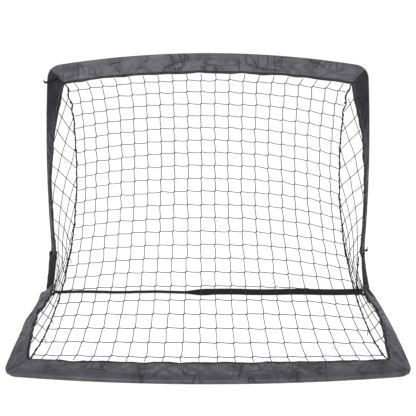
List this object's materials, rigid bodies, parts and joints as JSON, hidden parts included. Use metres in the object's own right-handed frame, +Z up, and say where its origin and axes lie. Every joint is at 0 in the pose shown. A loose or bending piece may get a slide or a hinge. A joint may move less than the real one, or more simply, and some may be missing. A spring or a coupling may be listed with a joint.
{
  "type": "folding hockey goal net",
  "caption": "Folding practice goal: arched front frame hinged on a U-shaped ground frame, fabric rod sleeves, sloping knotted back net and laced side nets.",
  "frame": {"origin": "on the ground under the middle of the bounding box of the goal as set up", "axes": "+Z up, +Y out of the goal's mouth, +X to the right for someone standing behind the goal and looking at its net"},
  "size_m": [1.2528, 0.7088, 0.8934],
  "materials": {
    "sleeve_fabric": "woven polyester, slight sheen",
    "webbing": "ribbed webbing",
    "net_twine": "knotted twine",
    "fibreglass": "smooth pultruded rod",
    "steel": "zinc plated"
  },
  "bodies": {
    "base_frame": {"rear_bar_ferrule": "steel", "rear_bar_sleeve": "sleeve_fabric", "goal_line_strap": "webbing", "net_back": "net_twine", "rear_bar_rod_left": "fibreglass", "rear_bar_rod_right": "fibreglass", "rear_elbow_left": "steel", "rear_elbow_right": "steel", "side_rod_left": "fibreglass", "side_rod_right": "fibreglass", "knee_lower_socket_left": "steel", "knee_lower_socket_right": "steel", "knee_pin_left": "steel", "knee_pin_right": "steel", "side_sleeve_left": "sleeve_fabric", "side_sleeve_right": "sleeve_fabric", "rear_corner_sleeve_left": "sleeve_fabric", "rear_corner_sleeve_right": "sleeve_fabric", "knee_strap_left": "webbing", "knee_strap_right": "webbing", "net_side_left": "net_twine", "net_side_right": "net_twine", "seam_cord_left": "net_twine", "seam_cord_right": "net_twine"},
    "front_frame": {"crossbar_ferrule": "steel", "crossbar_sleeve": "sleeve_fabric", "corner_tie_left": "webbing", "sleeve_knot_right": "webbing", "crossbar_rod_left": "fibreglass", "crossbar_rod_right": "fibreglass", "top_elbow_left": "steel", "top_elbow_right": "steel", "post_rod_left": "fibreglass", "post_rod_right": "fibreglass", "knee_upper_socket_left": "steel", "knee_upper_socket_right": "steel", "post_sleeve_left": "sleeve_fabric", "post_sleeve_right": "sleeve_fabric", "knee_gusset_left": "webbing", "knee_gusset_right": "webbing"}
  },
  "joints": [
    {"name": "front_frame_fold", "type": "hinge", "parent": "base_frame", "child": "front_frame", "pos_m": [0, 0.34206, 0.022], "axis": [1, 0, 0], "range_deg": [0, 85], "deforming": ["net_back", "crossbar_sleeve", "corner_tie_left", "net_side_left", "net_side_right", "seam_cord_left", "seam_cord_right", "knee_strap_left", "knee_strap_right", "knee_gusset_left", "knee_gusset_right", "post_sleeve_left", "post_sleeve_right", "side_sleeve_left", "side_sleeve_right", "rear_corner_sleeve_left", "rear_corner_sleeve_right"]}
  ]
}
